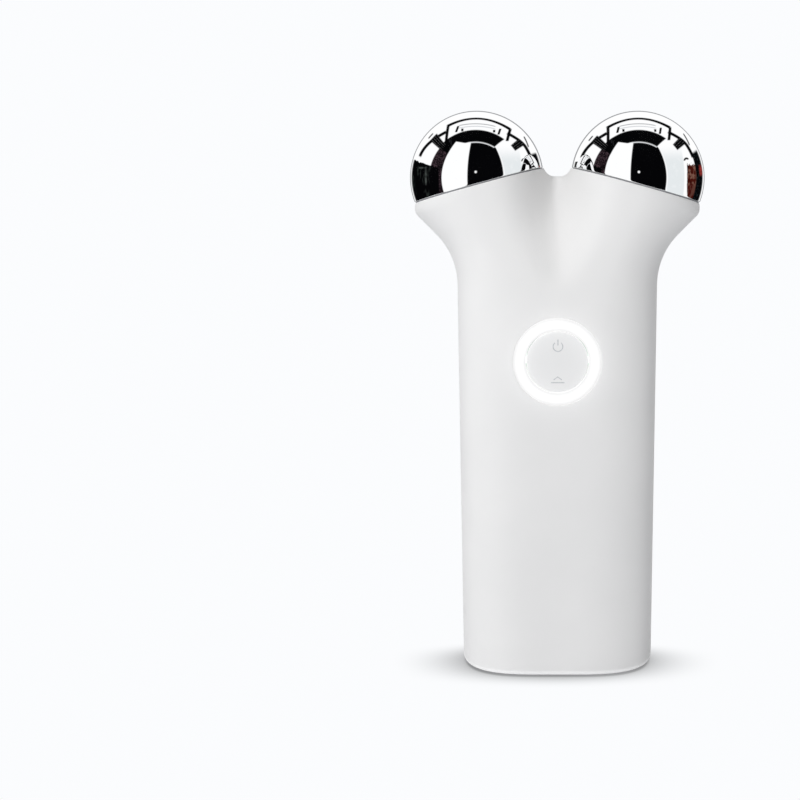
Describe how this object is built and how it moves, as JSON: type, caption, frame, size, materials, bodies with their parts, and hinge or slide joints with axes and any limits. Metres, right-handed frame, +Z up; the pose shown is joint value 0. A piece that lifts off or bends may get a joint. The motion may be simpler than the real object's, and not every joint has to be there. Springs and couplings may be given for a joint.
{
  "type": "facial toning device",
  "caption": "Handheld facial toning device with two fixed chrome ball electrodes on a flared handle, a round rocker button in a light ring and a charging socket in the base.",
  "frame": {"origin": "centre of the underside of the foot pad", "axes": "+Z up the handle towards the balls, +X to the viewer's right when looking at the button, the button faces -Y"},
  "size_m": [0.0684, 0.0372, 0.1301],
  "materials": {
    "shell_white": "satin moulded plastic with a very fine grain",
    "button_white": "satin moulded plastic, printed marks",
    "chrome": "polished chrome plating",
    "seal_grey": "soft silicone",
    "light_white": "milky diffuser, lit from behind",
    "natural_nylon": "natural nylon",
    "steel": "plain zinc-plated and stainless steel",
    "brass": "tinned brass",
    "board_green": "solder mask on glass-fibre board",
    "black_plastic": "moulded black plastic",
    "led_lens": "clear yellowish lens",
    "capacitor_tan": "fired ceramic body",
    "flex_amber": "amber film",
    "cell_foil": "laminated foil pouch",
    "foam_grey": "closed-cell foam",
    "red_insulation": "wire insulation",
    "blue_insulation": "wire insulation",
    "black_insulation": "wire insulation"
  },
  "bodies": {
    "body": {"front_shell": "shell_white", "rear_shell": "shell_white", "base_cap": "shell_white", "foot_pad": "seal_grey", "left_electrode": "chrome", "right_electrode": "chrome", "electrode_seals": "seal_grey", "electrode_carriers": "natural_nylon", "electrode_screws": "steel", "lead_terminals": "brass", "left_lead": "blue_insulation", "right_lead": "red_insulation", "light_ring": "light_white", "button_housing": "natural_nylon", "button_board": "board_green", "switch_domes": "steel", "ring_leds": "led_lens", "button_screws": "steel", "button_flex": "flex_amber", "flex_sockets": "black_plastic", "inner_frame": "natural_nylon", "frame_screws": "steel", "case_screws": "steel", "main_board": "board_green", "board_screws": "steel", "usb_socket": "steel", "usb_contacts": "black_plastic", "controller_chip": "black_plastic", "charger_chip": "black_plastic", "boost_transformer": "black_plastic", "output_capacitors": "capacitor_tan", "battery_cell": "cell_foil", "cell_guard_board": "board_green", "cell_tape": "black_plastic", "cell_foam": "foam_grey", "battery_socket": "natural_nylon", "battery_plug": "natural_nylon", "red_lead": "red_insulation", "black_lead": "black_insulation"},
    "button": {"button_cap": "button_white", "pivot_pin": "steel"}
  },
  "joints": [
    {"name": "button_rock", "type": "hinge", "parent": "body", "child": "button", "pos_m": [0, -0.01503, 0.0747], "axis": [1, 0, 0], "range_deg": [-3, 3], "stiffness_Nm_per_rad": 0.13, "deforming": ["switch_domes"]}
  ]
}
